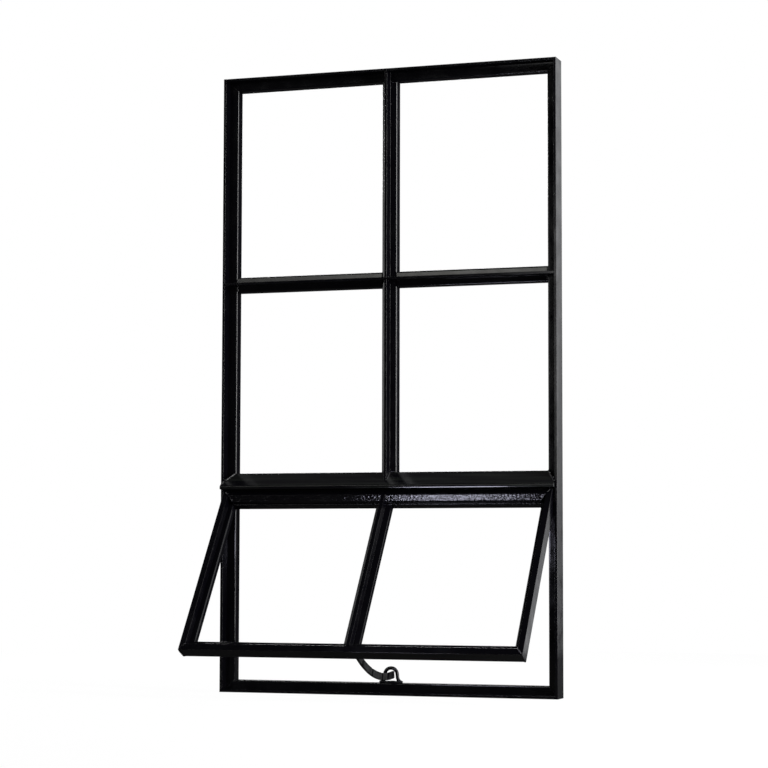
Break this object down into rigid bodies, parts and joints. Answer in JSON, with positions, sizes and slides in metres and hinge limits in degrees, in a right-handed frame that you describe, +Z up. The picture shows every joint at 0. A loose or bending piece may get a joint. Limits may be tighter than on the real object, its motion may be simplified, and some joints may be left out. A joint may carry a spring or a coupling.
{
  "type": "top-hung steel window",
  "caption": "Black steel window with fixed glazing bars over a top-hung sash that swings out on a curved stay.",
  "frame": {"origin": "middle of the flat underside of the sill", "axes": "+X across the window to the right seen from outside, +Y from outside to the room, +Z up"},
  "size_m": [0.533, 0.2074, 0.949],
  "materials": {
    "frame_paint": "gloss",
    "stay_steel": "worn satin",
    "pin_steel": "satin"
  },
  "bodies": {
    "frame": {"head_rail": "frame_paint", "sill_rail": "frame_paint", "left_jamb": "frame_paint", "right_jamb": "frame_paint", "transom_bar": "frame_paint", "rain_hood": "frame_paint", "upright_glazing_bar": "frame_paint", "left_glazing_bar": "frame_paint", "right_glazing_bar": "frame_paint", "left_pivot_pin": "pin_steel", "right_pivot_pin": "pin_steel", "stay_ring": "frame_paint"},
    "sash": {"sash_top_rail": "frame_paint", "sash_bottom_rail": "frame_paint", "sash_left_stile": "frame_paint", "sash_right_stile": "frame_paint", "sash_glazing_bar": "frame_paint", "stay_lug": "frame_paint", "stay_arm": "stay_steel"}
  },
  "joints": [
    {"name": "sash_swing", "type": "hinge", "parent": "frame", "child": "sash", "pos_m": [0, -0.0135, 0.291], "axis": [1, 0, 0], "range_deg": [-2, 35.7]}
  ]
}
